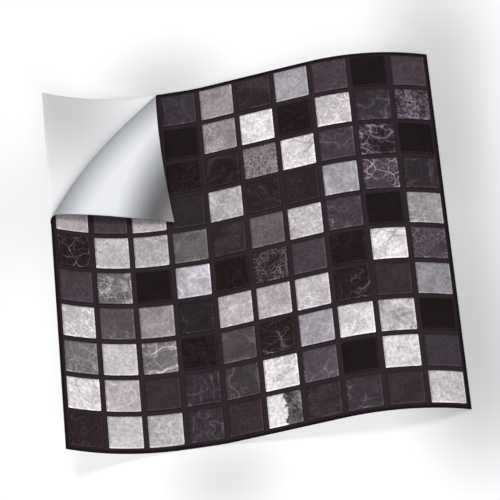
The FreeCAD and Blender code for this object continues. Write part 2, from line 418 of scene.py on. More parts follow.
def gel_square(column, row):
    """One gel square as points, polygons and places: walls, rolled edges and a domed top."""
    left, far = BORDER + column * PITCH, BORDER + row * PITCH
    corners = [(left + x, far + y) for x in (0, SQUARE) for y in (0, SQUARE)]
    in_fold = max(to_peel(*corner)[1] for corner in corners) > 0
    shape = folded if in_fold else place
    stations = square_stations(FOLDED_CELLS if in_fold else CELLS)
    last = len(stations) - 1
    points, spots = [], []
    grid = {}
    for i, x in enumerate(stations):
        for j, y in enumerate(stations):
            depth = min(i, j, last - i, last - j)
            inset = min(SQUARE / 2 - max(abs(x), abs(y)), ROLL)
            radius = CORNER_ROUND - inset
            half = SQUARE / 2 - inset
            if depth < ROLL_STEPS:
                if abs(x) >= abs(y):
                    x_on, y_on = round_corner(x, y, half, radius)
                else:
                    y_on, x_on = round_corner(y, x, half, radius)
            else:
                x_on, y_on = x, y
            rolled = math.sqrt(max(ROLL ** 2 - (ROLL - inset) ** 2, 0.0))
            dome = DOME * (1 - (2 * x / SQUARE) ** 2) * (1 - (2 * y / SQUARE) ** 2)
            lift = SQUARE_TOP - ROLL + rolled - DOME + dome
            spot = (left + SQUARE / 2 + x_on, far + SQUARE / 2 + y_on)
            grid[i, j] = len(points)
            points.append(shape(*spot, lift))
            spots.append(spot)
    polygons, printed = [], []
    for i in range(last):
        for j in range(last):
            polygons.append([grid[i, j], grid[i, j + 1], grid[i + 1, j + 1], grid[i + 1, j]])
            printed.append(min(i, j, last - 1 - i, last - 1 - j) >= EDGE_FACES)
    loop = [(i, 0) for i in range(last)] + [(last, j) for j in range(last)]
    loop += [(i, last) for i in range(last, 0, -1)] + [(0, j) for j in range(last, 0, -1)]
    foot = len(points)
    for key in loop:
        spot = spots[grid[key]]
        points.append(shape(*spot, FILM_TOP - SINK))
        spots.append(spot)
    for index, key in enumerate(loop):
        following = (index + 1) % len(loop)
        polygons.append([grid[key], grid[loop[following]], foot + following, foot + index])
        printed.append(False)
    return points, polygons, printed, spots


# seed of the draws that turn and shift each square's pattern, and how far they shift it
PATTERN_SEED = 7
PATTERN_REACH = 900.0


def stone_piece(name, members):
    """All squares of one stone as one object, each with its own stretch of the pattern."""
    points, polygons, slots, spots, stones, insides = [], [], [], [], [], []
    looks = []
    for column, row in members:
        look = look_of(column, row)
        if look not in looks:
            looks.append(look)
        more_points, more_polygons, printed, more_spots = gel_square(column, row)
        start = len(points)
        points += more_points
        polygons += [[index + start for index in polygon] for polygon in more_polygons]
        slots += [looks.index(look) + 1 if on_top else 0 for on_top in printed]
        dice = random.Random(PATTERN_SEED + row * COLUMNS + column)
        turn = dice.uniform(0, 2 * math.pi) if look not in UPRIGHT else 0.0
        offset = [dice.uniform(0, PATTERN_REACH) for _ in range(3)]
        middle = (BORDER + column * PITCH + SQUARE / 2, BORDER + row * PITCH + SQUARE / 2)
        for across, down in more_spots:
            x, y = across - middle[0], middle[1] - down
            spots += [across, down, 0.0]
            insides += [x, y, 0.0]
            stones += [
                x * math.cos(turn) - y * math.sin(turn) + offset[0],
                x * math.sin(turn) + y * math.cos(turn) + offset[1],
                offset[2],
            ]
    materials = [gel_edge_material()] + [stone_material(look) for look in looks]
    piece = mesh_object(name, points, polygons, materials)
    piece.data.polygons.foreach_set("material_index", slots)
    keep_places(piece, "sheet_place", spots)
    keep_places(piece, "stone_place", stones)
    keep_places(piece, "square_place", insides)
    return piece


# look of each square, far row first: the stone's letter, as in the part's source, and a variant
PLAN = (
    "k1 w1 p1 c1 l1 b3 l2 p2 k1 p2",
    "w1 b1 g1 k1 g8 w2 b1 w3 c2 m1",
    "b1 g1 l1 k3 b2 g1 w1 c3 c8 k1",
    "l4 p1 l4 c5 l6 b4 b5 g5 c9 c4",
    "k2 w9 l3 g4 b3 p7 g9 c3 k1 l5",
    "p2 g2 k1 w6 b1 k5 p2 b1 w1 c7",
    "w7 p3 l1 c6 l4 g6 l8 k4 p4 g7",
    "g3 l9 g0 k3 p5 k4 g5 w8 m2 k1",
    "w1 l4 p4 c4 p6 m4 p9 k1 w4 p8",
    "b4 l9 l6 c4 p4 m3 b3 c0 p4 w5",
)
STONE_NODES = {
    "w": "squares_white_marble",
    "l": "squares_pale_stone",
    "g": "squares_grey_marble",
    "m": "squares_breccia",
    "c": "squares_charcoal_stone",
    "p": "squares_plum_glass",
    "b": "squares_brown_marble",
    "k": "squares_black_stone",
}
UPRIGHT = ("c4", "m3")


def look_of(column, row):
    """The look of one square."""
    return PLAN[row].split()[column]


# tints as shares of a grey's red, green and blue
TINTS = {
    "plain": (1.03, 0.978, 1.0),
    "pink": (1.06, 0.955, 0.985),
    "warm": (1.03, 0.99, 0.98),
    "plum": (1.22, 0.83, 0.97),
    "mauve": (1.11, 0.90, 1.0),
    "slate": (1.10, 0.87, 1.04),
    "brown": (1.36, 0.82, 0.87),
    "cool": (1.01, 0.965, 1.035),
    "silver": (0.975, 1.0, 1.025),
}


SCREEN_TOP = 255
SCREEN_OFFSET = 0.055
SCREEN_POWER = 2.4


def tone(brightness, tint="plain"):
    """A linear colour from a screen brightness of 0 to SCREEN_TOP and a tint, by the sRGB curve."""
    level = ((brightness / SCREEN_TOP + SCREEN_OFFSET) / (1 + SCREEN_OFFSET)) ** SCREEN_POWER
    return tuple(level * share for share in TINTS[tint]) + (1.0,)


def stone(tint, ground, cloud, **patterns):
    """A look: its colours from screen brightnesses, all in its tint but those that name their own."""

    def shade(value):
        return tone(*value) if isinstance(value, tuple) else tone(value, tint)

    shades = {"ground": shade(ground), "cloud": shade(cloud)}
    for name, (brightness, *rest) in patterns.items():
        shades[name] = (shade(brightness), *rest)
    return shades


# each look: its tint, its ground and its clouds, then how its patterns show. Veins and net:
# brightness, amount, width and scale. Specks: brightness, amount, scale and share. Pebbles:
# brightness, scale and share. Streaks: brightness and amount. Split: brightness of the left half.
LOOKS = {
    "w1": stone("plain", 236, 206, veins=(160, 0.9, 0.03, 0.05), net=(250, 0.9, 0.05, 0.12)),
    "w2": stone("plain", 240, 206, veins=(180, 0.5, 0.02, 0.06), net=(250, 0.7, 0.05, 0.12)),
    "w3": stone("plain", (200, "pink"), 180, net=(246, 0.9, 0.06, 0.13)),
    "w4": stone("warm", 220, 196, pebbles=(190, 0.30, 0.30), specks=((110, "plain"), 0.8, 0.9, 0.30)),
    "w5": stone("warm", 208, 184, pebbles=(178, 0.42, 0.34), specks=((120, "plain"), 0.7, 0.8, 0.34)),
    "w6": stone("cool", 198, 162, veins=(246, 0.7, 0.06, 0.05)),
    "w7": stone("plain", 196, 176, net=(244, 0.95, 0.07, 0.20), veins=(246, 0.9, 0.035, 0.16)),
    "w8": stone("plain", 222, 190, veins=(246, 0.7, 0.03, 0.06)),
    "w9": stone("plain", 200, 174, pebbles=(162, 0.24, 0.34), net=(228, 0.7, 0.05, 0.24)),
    "l1": stone("pink", 152, 130, veins=(196, 0.5, 0.014, 0.04)),
    "l2": stone("cool", 168, 150, veins=(208, 0.5, 0.015, 0.06)),
    "l3": stone("plain", 180, 154, net=(222, 0.6, 0.06, 0.26), specks=(140, 0.5, 0.7, 0.40)),
    "l4": stone(
        "pink", 180, 166,
        veins=((228, "plain"), 0.8, 0.022, 0.06),
        net=((212, "plain"), 0.5, 0.04, 0.12),
    ),
    "l5": stone("warm", 156, 134, net=(214, 0.7, 0.06, 0.20), specks=(130, 0.5, 0.6, 0.34)),
    "l6": stone("plain", 176, 154, veins=(226, 0.7, 0.02, 0.06), net=(222, 0.5, 0.05, 0.10)),
    "l8": stone("plain", (176, "pink"), 194, net=(234, 0.9, 0.05, 0.13)),
    "l9": stone("warm", 196, 186, net=(212, 0.3, 0.05, 0.20)),
    "g0": stone("pink", 106, 92, veins=(205, 0.95, 0.035, 0.05), net=(190, 0.7, 0.04, 0.16)),
    "g1": stone("pink", 144, 126, specks=((72, "plum"), 0.85, 0.75, 0.46)),
    "g2": stone("pink", 92, 102, net=(206, 0.95, 0.055, 0.22), pebbles=(176, 0.10, 0.4)),
    "g3": stone("pink", 100, 112, net=(196, 0.85, 0.035, 0.11), veins=(186, 0.6, 0.02, 0.05)),
    "g4": stone("pink", 100, 84, veins=(150, 0.6, 0.03, 0.07), specks=(84, 0.4, 0.5, 0.4)),
    "g5": stone("cool", 166, 146, veins=(200, 0.6, 0.05, 0.05)),
    "g6": stone("pink", 178, 160, net=(204, 0.8, 0.06, 0.15), veins=(210, 0.6, 0.02, 0.07)),
    "g7": stone("cool", 126, 150, net=(170, 0.3, 0.08, 0.3)),
    "g8": stone("pink", 128, 150, net=(188, 0.8, 0.10, 0.30), pebbles=(112, 0.16, 0.4)),
    "g9": stone("plain", (172, "pink"), 190, net=(232, 0.7, 0.04, 0.13), veins=(244, 0.8, 0.03, 0.05)),
    "m1": stone("slate", 124, 92, pebbles=(38, 0.34, 0.58), specks=(36, 0.9, 0.6, 0.46)),
    "m2": stone("plain", 206, 178, pebbles=((150, "pink"), 0.22, 0.62), specks=(130, 0.5, 0.9, 0.3)),
    "m3": stone(
        "plum", (100, "pink"), (124, "plain"),
        pebbles=(38, 0.42, 0.66),
        specks=(44, 0.9, 0.7, 0.42),
        split=((226, "warm"),),
    ),
    "m4": stone("plain", 232, 214, pebbles=(186, 0.20, 0.55)),
    "c0": stone("slate", 58, 52, veins=(124, 0.7, 0.02, 0.10)),
    "c1": stone("slate", 50, 56, veins=(100, 0.7, 0.014, 0.06)),
    "c2": stone("slate", 50, 45, veins=(98, 0.8, 0.04, 0.06)),
    "c3": stone("slate", 66, 60, veins=(138, 0.8, 0.016, 0.07)),
    "c4": stone("slate", 50, 44, streaks=(86, 0.8), veins=(120, 0.5, 0.014, 0.07)),
    "c5": stone("slate", 41, 45),
    "c6": stone("slate", 38, 33, net=(96, 0.7, 0.022, 0.12)),
    "c7": stone("slate", 60, 72, net=(116, 0.8, 0.12, 0.30)),
    "c8": stone("slate", 32, 38, net=(150, 0.9, 0.035, 0.17), veins=(176, 0.7, 0.02, 0.08)),
    "c9": stone("slate", 62, 70, net=(182, 0.9, 0.05, 0.13)),
    "p1": stone("mauve", 70, 64),
    "p2": stone("slate", 68, (62, "plum"), veins=(98, 0.4, 0.02, 0.07)),
    "p3": stone("mauve", 88, 80, net=(142, 0.8, 0.035, 0.15)),
    "p4": stone("plum", 52, 48),
    "p5": stone("mauve", 62, 78, veins=(112, 0.6, 0.05, 0.06)),
    "p6": stone("mauve", 62, 56, veins=(134, 0.7, 0.016, 0.06)),
    "p7": stone("mauve", 96, 88, veins=(132, 0.4, 0.03, 0.05)),
    "p8": stone("slate", 54, 60, specks=(54, 0.5, 0.5, 0.4)),
    "p9": stone("slate", 82, 74, veins=(146, 0.8, 0.018, 0.08)),
    "b1": stone("brown", 25, 23, veins=((58, "plum"), 0.5, 0.02, 0.08)),
    "b2": stone("brown", 28, 24, veins=((70, "slate"), 0.5, 0.07, 0.03)),
    "b3": stone("plum", 38, 50, net=(74, 0.6, 0.08, 0.25)),
    "b4": stone("brown", 38, 34, veins=((84, "plum"), 0.6, 0.02, 0.09)),
    "b5": stone("plum", (33, "brown"), 39, net=(66, 0.7, 0.06, 0.26)),
    "k1": stone("brown", 20, 23),
    "k2": stone("brown", 30, (36, "plum"), net=((130, "slate"), 0.85, 0.028, 0.10)),
    "k3": stone("brown", 20, 24, net=(46, 0.6, 0.10, 0.2)),
    "k4": stone(
        "brown", 32, 28,
        veins=((136, "slate"), 0.8, 0.009, 0.05),
        net=((90, "slate"), 0.6, 0.025, 0.11),
    ),
    "k5": stone("brown", 30, (38, "plum"), net=((118, "pink"), 0.85, 0.09, 0.30)),
}

# clouds, mottling and grain, which every stone has. A noise is its scale, detail and roughness, a
# drift is the scale of the noise that moves a place and its reach in millimetres, and a mask or
# band is the two values between which it turns from 0 to 1. Other pairs say what they are.
CLOUD_DRIFT = (0.12, 5.0)
CLOUD_NOISE = (0.09, 6.0, 0.6)
CLOUD_MASK = (0.38, 0.62)
MOTTLE = 0.30
MOTTLE_NOISE = (0.50, 8.0, 0.75)
MOTTLE_MASK = (0.30, 0.70)
GRAIN_NOISE = (1.3, 4.0, 0.7)
GRAIN_COLOUR = (0.05, 0.04, 0.045, 1.0)
GRAIN_DEPTH = 0.06

# veins and nets: each branch is how much finer it is and how strong, and a ridge is a noise's
# detail and roughness. Core and halo are shares of a look's width, and fray thins and widens a line.
VEIN_BRANCHES = ((1.0, 1.0), (2.3, 0.55))
VEIN_DRIFT = (0.20, 1.2)
VEIN_RIDGE = (1.0, 0.3)
VEIN_CORE = 0.7
VEIN_PATCHES = (0.06, 2.0)
VEIN_PATCH_MASK = (0.34, 0.60)
HALO_REACH = 4
HALO_DEPTH = 0.15
NET_BRANCHES = ((1.0, 1.0), (2.1, 0.6))
NET_DRIFT_FINER = 1.6
NET_DRIFT_CELLS = 0.55
NET_PATCHES = (0.07, 2.0)
NET_PATCH_MASK = (0.36, 0.60)
FRAY_FINER = 2
FRAY_DETAIL = 3.0
FRAY = (0.3, 1.5)

# fragments, specks, streaks and the split stone, whose edges are how far a mask reaches to each
# side of a look's share, or places in millimetres
PEBBLE_DRIFT = (0.6, 2.2)
PEBBLE_GAP = (0.02, 0.12)
PEBBLE_EDGE = 0.02
PEBBLE_TONES = (0.30, 0.90)
SPECK_GRAIN = (3.0, 0.7)
SPECK_EDGE = (0.06, 0.04)
STREAK_DRIFT = (0.2, 2.0)
STREAK_SHAPE = (1.0, 0.18, 1.0)
STREAK_NOISE = (0.32, 4.0, 0.6)
STREAK_MASK = (0.50, 0.72)
SPLIT_NOISE = (0.35, 4.0)
SPLIT_REACH = 16.0
SPLIT_EDGE = (1.2, 0.2)

# the bevel's painted highlight and painted shade: its band in millimetres from the square's middle,
# what the highlighted sides gain, and the painted shade that the other sides are mixed with
BEVEL_BAND = (9.7, 10.2)
BEVEL_HIGHLIGHT_GAIN = (1.3, 1.3, 1.3)
BEVEL_PAINTED_SHEEN = (0.008, 0.006, 0.007)
BEVEL_PAINTED_SHADE = (0.012, 0.008, 0.010, 1.0)
BEVEL_SHADE_DEPTH = 0.30

# the gel's surface: a bump is its strength and its distance in metres
SMEAR_NOISE = (0.35, 3.0)
SMEAR_ROUGHNESS = (0.22, 0.34)
RIPPLE_NOISE = (0.20, 2.0)
RIPPLE = (0.15, 0.0006)

# a noise's middle value, and the detail of the noise that moves a place
NOISE_MIDDLE = 0.5
DRIFT_DETAIL = 2.0


class Nodes:
    """A node tree, with short ways to add and link nodes."""

    def __init__(self, tree):
        self.tree = tree

    def add(self, kind, **settings):
        node = self.tree.nodes.new(kind)
        for name, value in settings.items():
            setattr(node, name, value)
        return node

    def feed(self, socket, value):
        """Link a value that comes from a node, or write a plain one on the socket."""
        if isinstance(value, bpy.types.NodeSocket):
            self.tree.links.new(value, socket)
        else:
            socket.default_value = value

    def attribute(self, name):
        return self.add("ShaderNodeAttribute", attribute_name=name).outputs["Vector"]

    def noise(self, place_on, scale, detail=4.0, roughness=0.5):
        node = self.add("ShaderNodeTexNoise")
        self.feed(node.inputs["Vector"], place_on)
        node.inputs["Scale"].default_value = scale
        node.inputs["Detail"].default_value = detail
        node.inputs["Roughness"].default_value = roughness
        return node.outputs

    def voronoi(self, place_on, scale, feature):
        node = self.add("ShaderNodeTexVoronoi", feature=feature)
        self.feed(node.inputs["Vector"], place_on)
        node.inputs["Scale"].default_value = scale
        return node.outputs

    def math(self, operation, first, second=0.0):
        node = self.add("ShaderNodeMath", operation=operation)
        self.feed(node.inputs[0], first)
        self.feed(node.inputs[1], second)
        return node.outputs["Value"]

    def times(self, *factors):
        """The product of some values."""
        product = factors[0]
        for factor in factors[1:]:
            product = self.math("MULTIPLY", product, factor)
        return product

    def vector(self, operation, first, second):
        node = self.add("ShaderNodeVectorMath", operation=operation)
        self.feed(node.inputs[0], first)
        self.feed(node.inputs[1], second)
        return node.outputs["Vector"]

    def parts(self, vector):
        """The three components of a vector."""
        node = self.add("ShaderNodeSeparateXYZ")
        self.feed(node.inputs[0], vector)
        return node.outputs

    def between(self, value, low, high, rising="SMOOTHSTEP"):
        """0 at low and 1 at high, smoothly, or evenly if rising is LINEAR."""
        node = self.add("ShaderNodeMapRange", interpolation_type=rising)
        self.feed(node.inputs["Value"], value)
        node.inputs["From Min"].default_value = low
        node.inputs["From Max"].default_value = high
        return node.outputs["Result"]

    def span(self, value, first, last):
        """A value from 0 to 1 stretched between two others."""
        node = self.add("ShaderNodeMapRange")
        self.feed(node.inputs["Value"], value)
        node.inputs["To Min"].default_value = first
        node.inputs["To Max"].default_value = last
        return node.outputs["Result"]

    def ramp(self, value, stops):
        """The colour at a value, along stops that are values with colours."""
        low, high = stops[0][0], stops[-1][0]
        node = self.add("ShaderNodeValToRGB")
        self.feed(node.inputs["Fac"], self.between(value, low, high, "LINEAR"))
        elements = node.color_ramp.elements
        elements.remove(elements[1])
        elements[0].color = stops[0][1]
        for stop, colour in stops[1:]:
            elements.new((stop - low) / (high - low)).color = colour
        return node.outputs["Color"]

    def mix(self, share, first, second):
        node = self.add("ShaderNodeMix", data_type="RGBA")
        self.feed(node.inputs["Factor"], share)
        self.feed(node.inputs["A"], first)
        self.feed(node.inputs["B"], second)
        return node.outputs["Result"]

    def bump(self, height, strength, distance):
        node = self.add("ShaderNodeBump")
        node.inputs["Strength"].default_value = strength
        node.inputs["Distance"].default_value = distance
        self.feed(node.inputs["Height"], height)
        return node.outputs["Normal"]

    def warped(self, place_on, scale, amount):
        """The place moved about by a slow noise, so that patterns wander."""
        drift = self.noise(place_on, scale, DRIFT_DETAIL)["Color"]
        centred = self.vector("SUBTRACT", drift, [NOISE_MIDDLE] * 3)
        return self.vector("ADD", place_on, self.vector("MULTIPLY", centred, [amount] * 3))

    def length(self, vector):
        node = self.add("ShaderNodeVectorMath", operation="LENGTH")
        self.feed(node.inputs[0], vector)
        return node.outputs["Value"]


def new_material(name):
    """A material, its nodes and its shader."""
    material = bpy.data.materials.new(name)
    material.use_nodes = True
    nodes = Nodes(material.node_tree)
    return material, nodes, nodes.tree.nodes["Principled BSDF"]


def with_pebbles(nodes, place_on, colour, shade, scale, share):
    """Angular fragments of another shade, each a little different, with gaps between them."""
    warped = nodes.warped(place_on, *PEBBLE_DRIFT)
    lots = nodes.parts(nodes.voronoi(warped, scale, "F1")["Color"])
    gap = nodes.between(nodes.voronoi(warped, scale, "DISTANCE_TO_EDGE")["Distance"], *PEBBLE_GAP)
    chosen = nodes.between(lots["X"], share + PEBBLE_EDGE, share - PEBBLE_EDGE)
    inner = nodes.span(lots["Y"], *PEBBLE_TONES)
    return nodes.mix(nodes.times(gap, chosen, inner), colour, shade)


def with_specks(nodes, place_on, colour, shade, amount, scale, share):
    """Grains of another shade."""
    grains = nodes.noise(place_on, scale, *SPECK_GRAIN)["Fac"]
    below, above = SPECK_EDGE
    mask = nodes.between(grains, 1.0 - share - below, 1.0 - share + above)
    return nodes.mix(nodes.times(mask, amount), colour, shade)


def with_net(nodes, place_on, colour, shade, amount, width, scale):
    """A net of cracks between angular cells, finer ones between coarse ones, stronger in patches."""
    patch = nodes.between(nodes.noise(place_on, *NET_PATCHES)["Fac"], *NET_PATCH_MASK)
    for finer, share in NET_BRANCHES:
        cells = scale * finer
        warped = nodes.warped(place_on, cells * NET_DRIFT_FINER, NET_DRIFT_CELLS / cells)
        edge = nodes.voronoi(warped, cells, "DISTANCE_TO_EDGE")["Distance"]
        fray = nodes.span(nodes.noise(place_on, cells * FRAY_FINER, FRAY_DETAIL)["Fac"], *FRAY)
        line = nodes.between(nodes.math("DIVIDE", edge, fray), width, 0.0)
        colour = nodes.mix(nodes.times(line, patch, amount * share), colour, shade)
    return colour


def with_veins(nodes, place_on, colour, shade, amount, width, scale):
    """Long thin veins with a faint halo, and finer ones that branch across them."""
    patch = nodes.between(nodes.noise(place_on, *VEIN_PATCHES)["Fac"], *VEIN_PATCH_MASK)
    for finer, share in VEIN_BRANCHES:
        ridge = nodes.noise(nodes.warped(place_on, *VEIN_DRIFT), scale * finer, *VEIN_RIDGE)["Fac"]
        off_line = nodes.math("ABSOLUTE", nodes.math("SUBTRACT", ridge, NOISE_MIDDLE))
        line = nodes.between(off_line, width * VEIN_CORE * math.sqrt(finer), 0.0)
        halo = nodes.times(nodes.between(off_line, width * HALO_REACH, 0.0), HALO_DEPTH)
        shown = nodes.times(nodes.math("MAXIMUM", line, halo), patch, amount * share)
        colour = nodes.mix(shown, colour, shade)
    return colour


def with_streaks(nodes, place_on, colour, shade, amount):
    """Upright smears of another shade."""
    drawn = nodes.vector("MULTIPLY", nodes.warped(place_on, *STREAK_DRIFT), STREAK_SHAPE)
    streak = nodes.noise(drawn, *STREAK_NOISE)["Fac"]
    return nodes.mix(nodes.times(nodes.between(streak, *STREAK_MASK), amount), colour, shade)


def with_split(nodes, place_on, inside, colour, shade):
    """The left half in another shade, along a ragged line."""
    ragged = nodes.math("SUBTRACT", nodes.noise(place_on, *SPLIT_NOISE)["Fac"], NOISE_MIDDLE)
    side = nodes.math("ADD", nodes.parts(inside)["X"], nodes.times(ragged, SPLIT_REACH))
    return nodes.mix(nodes.between(side, *SPLIT_EDGE), colour, shade)


def with_painted_bevel_light(nodes, inside, colour):
    """Painted bevel light: a painted highlight along the near and right sides, painted shade along the
    others.
    """
    x, y = nodes.parts(inside)["X"], nodes.parts(inside)["Y"]
    lit = nodes.math("MAXIMUM", x, nodes.math("MULTIPLY", y, -1.0))
    shaded = nodes.math("MAXIMUM", nodes.math("MULTIPLY", x, -1.0), y)
    dark = nodes.mix(BEVEL_SHADE_DEPTH, colour, BEVEL_PAINTED_SHADE)
    light = nodes.vector("ADD", nodes.vector("MULTIPLY", colour, BEVEL_HIGHLIGHT_GAIN), BEVEL_PAINTED_SHEEN)
    colour = nodes.mix(nodes.between(shaded, *BEVEL_BAND), colour, dark)
    return nodes.mix(nodes.between(lit, *BEVEL_BAND), colour, light)


PATTERNS = (
    ("pebbles", with_pebbles),
    ("specks", with_specks),
    ("net", with_net),
    ("veins", with_veins),
    ("streaks", with_streaks),
)


def stone_material(look):
    """A printed stone under clear gel, from a look's ground, clouds and patterns, with a painted bevel
    highlight and shade.
    """
    values = LOOKS[look]
    material, nodes, shader = new_material("stone_" + look)
    place_on = nodes.attribute("stone_place")
    inside = nodes.attribute("square_place")
    clouds = nodes.noise(nodes.warped(place_on, *CLOUD_DRIFT), *CLOUD_NOISE)["Fac"]
    colour = nodes.mix(nodes.between(clouds, *CLOUD_MASK), values["ground"], values["cloud"])
    for name, paint in PATTERNS:
        if name in values:
            colour = paint(nodes, place_on, colour, *values[name])
    if "split" in values:
        colour = with_split(nodes, place_on, inside, colour, *values["split"])
    mottle = nodes.between(nodes.noise(place_on, *MOTTLE_NOISE)["Fac"], *MOTTLE_MASK)
    colour = nodes.vector("MULTIPLY", colour, nodes.span(mottle, 1.0 - MOTTLE, 1.0 + MOTTLE))
    grain = nodes.noise(place_on, *GRAIN_NOISE)["Fac"]
    colour = nodes.mix(nodes.span(grain, 0.0, GRAIN_DEPTH), colour, GRAIN_COLOUR)
    # the bevel's painted highlight and painted shade go over the printed stone
    nodes.feed(shader.inputs["Base Color"], with_painted_bevel_light(nodes, inside, colour))
    smear = nodes.noise(place_on, *SMEAR_NOISE)["Fac"]
    nodes.feed(shader.inputs["Roughness"], nodes.span(smear, *SMEAR_ROUGHNESS))
    shader.inputs["Specular IOR Level"].default_value = 0.04
    ripple = nodes.noise(place_on, *RIPPLE_NOISE)["Fac"]
    nodes.feed(shader.inputs["Normal"], nodes.bump(ripple, *RIPPLE))
    return material


# the gel's sides: clouds between a deep and a clear shade
GEL_NOISE = (0.4, 3.0)
GEL_DEEP = (0.015, 0.010, 0.012, 1.0)
GEL_CLEAR = (0.030, 0.021, 0.026, 1.0)


def gel_edge_material():
    """The gel's walls and lower edges: dark and clear, with the grout colour behind them."""
    name = "gel_edge"
    if name in bpy.data.materials:
        return bpy.data.materials[name]
    material, nodes, shader = new_material(name)
    cloud = nodes.noise(nodes.attribute("sheet_place"), *GEL_NOISE)["Fac"]
    nodes.feed(shader.inputs["Base Color"], nodes.mix(cloud, GEL_DEEP, GEL_CLEAR))
    shader.inputs["Roughness"].default_value = 0.25
    shader.inputs["Specular IOR Level"].default_value = 0.4
    return material


# the grout colour: slow clouds between two shades, fine grain of a third, and the border's rim
GROUT_SLOW = (0.05, 3.0)
GROUT_FINE = (2.5, 3.0, 0.7)
GROUT_GRAIN_MASK = (0.35, 0.75)
GROUT_DARK = (0.0240, 0.0163, 0.0195, 1.0)
GROUT_LIGHT = (0.0300, 0.0208, 0.0245, 1.0)
GROUT_GRAIN = (0.0345, 0.0248, 0.0288, 1.0)
GROUT_BUMP = (0.25, 0.0002)
RIM_COLOUR = (0.011, 0.0065, 0.008, 1.0)
RIM_BAND = (WIDTH / 2 - BORDER, WIDTH / 2 - BORDER / 3)
SHEET_MIDDLE = (WIDTH / 2, DEPTH / 2, 0.0)


def grout_material():
    """The film's face in the grout colour: dark plum, matt, faintly grained, darker at its rim."""
    material, nodes, shader = new_material("film_grout")
    place_on = nodes.attribute("sheet_place")
    fine = nodes.noise(place_on, *GROUT_FINE)["Fac"]
    colour = nodes.mix(nodes.noise(place_on, *GROUT_SLOW)["Fac"], GROUT_DARK, GROUT_LIGHT)
    colour = nodes.mix(nodes.between(fine, *GROUT_GRAIN_MASK), colour, GROUT_GRAIN)
    off_middle = nodes.parts(nodes.vector("SUBTRACT", place_on, SHEET_MIDDLE))
    off_x, off_y = nodes.math("ABSOLUTE", off_middle["X"]), nodes.math("ABSOLUTE", off_middle["Y"])
    rim = nodes.between(nodes.math("MAXIMUM", off_x, off_y), *RIM_BAND)
    nodes.feed(shader.inputs["Base Color"], nodes.mix(rim, colour, RIM_COLOUR))
    shader.inputs["Roughness"].default_value = 0.65
    shader.inputs["Specular IOR Level"].default_value = 0.04
    nodes.feed(shader.inputs["Normal"], nodes.bump(fine, *GROUT_BUMP))
    return material


# painted reflection bands of the satin back from the folded tip to the fold, by across plus BAND_SLANT
# times down
BAND_SLANT = 1.4
PAINTED_REFLECTION_BANDS = (
    (0.0, tone(168)),
    (7.0, tone(140)),
    (14.0, tone(112, "pink")),
    (20.0, tone(110, "silver")),
    (28.0, tone(138, "silver")),
    (38.0, tone(182, "silver")),
    (47.0, tone(218, "silver")),
    (56.0, tone(242, "silver")),
    (136.0, tone(244, "silver")),
)
# painted shade near the fold: share of the bands' brightness by millimetres from the fold
FOLD_SHADE = (
    (0.0, (0.30, 0.31, 0.32, 1.0)),
    (3.0, (0.34, 0.35, 0.36, 1.0)),
    (9.0, (0.58, 0.59, 0.60, 1.0)),
    (15.0, (0.88, 0.88, 0.88, 1.0)),
    (19.0, (1.0, 1.0, 1.0, 1.0)),
)


def silver_material():
    """The film's adhesive back: smooth satin silver, with soft painted reflection bands along the fold
    and painted shade beside it.
    """
    material, nodes, shader = new_material("film_silver_back")
    spot = nodes.parts(nodes.attribute("sheet_place"))
    across, off_left = spot["X"], nodes.math("SUBTRACT", spot["Y"], PEEL_LEFT)
    slant = nodes.math("ADD", across, nodes.times(spot["Y"], BAND_SLANT))
    along_line = nodes.math("ADD", nodes.times(across, ALONG_ACROSS), nodes.times(off_left, ALONG_DOWN))
    beyond = nodes.math("SUBTRACT", nodes.times(across, ALONG_DOWN), nodes.times(off_left, ALONG_ACROSS))
    share = nodes.times(along_line, 1 / PEEL_LENGTH)
    bow = nodes.times(share, nodes.math("SUBTRACT", 1.0, share), 4 * FOLD_BOW)
    # silver in painted reflection bands, darkened by painted shade along the fold
    fold_shade = nodes.ramp(nodes.math("SUBTRACT", beyond, bow), FOLD_SHADE)
    colour = nodes.vector("MULTIPLY", nodes.ramp(slant, PAINTED_REFLECTION_BANDS), fold_shade)
    nodes.feed(shader.inputs["Base Color"], colour)
    shader.inputs["Metallic"].default_value = 0.3
    shader.inputs["Roughness"].default_value = 0.3
    shader.inputs["Specular IOR Level"].default_value = 0.2
    return material


# the liner's paper: fibres between two whites, and a painted grey shade that grows away from a middle
# place, in millimetres
FIBRE_NOISE = (0.9, 5.0, 0.7)
FIBRE_MASK = (0.3, 0.8)
FIBRE_BUMP = (0.08, 0.0001)
LINER_WHITE = (0.90, 0.90, 0.90, 1.0)
LINER_FIBRE = (0.87, 0.87, 0.87, 1.0)
LINER_PAINTED_SHADE = (0.55, 0.55, 0.55, 1.0)
LINER_SHADE_DEPTH = 0.9
LINER_SHADE_MIDDLE = (16.0, 4.0, 0.0)
LINER_SHADE_SHAPE = (1.0, 0.8, 0.0)
LINER_SHADE_BAND = (62.0, 4.0)


def liner_material():
    """Siliconised white paper: smooth, with a soft sheen, faint fibres and painted shade on its outer
    part.
    """
    material, nodes, shader = new_material("liner_paper")
    place_on = nodes.attribute("sheet_place")
    fibre = nodes.noise(place_on, *FIBRE_NOISE)["Fac"]
    colour = nodes.mix(nodes.between(fibre, *FIBRE_MASK), LINER_WHITE, LINER_FIBRE)
    # painted shade: the paper turns grey away from the middle place
    away = nodes.vector("MULTIPLY", nodes.vector("SUBTRACT", place_on, LINER_SHADE_MIDDLE), LINER_SHADE_SHAPE)
    painted_shade = nodes.times(nodes.between(nodes.length(away), *LINER_SHADE_BAND), LINER_SHADE_DEPTH)
    nodes.feed(shader.inputs["Base Color"], nodes.mix(painted_shade, colour, LINER_PAINTED_SHADE))
    shader.inputs["Roughness"].default_value = 0.5
    shader.inputs["Specular IOR Level"].default_value = 0.2
    nodes.feed(shader.inputs["Normal"], nodes.bump(fibre, *FIBRE_BUMP))
    return material


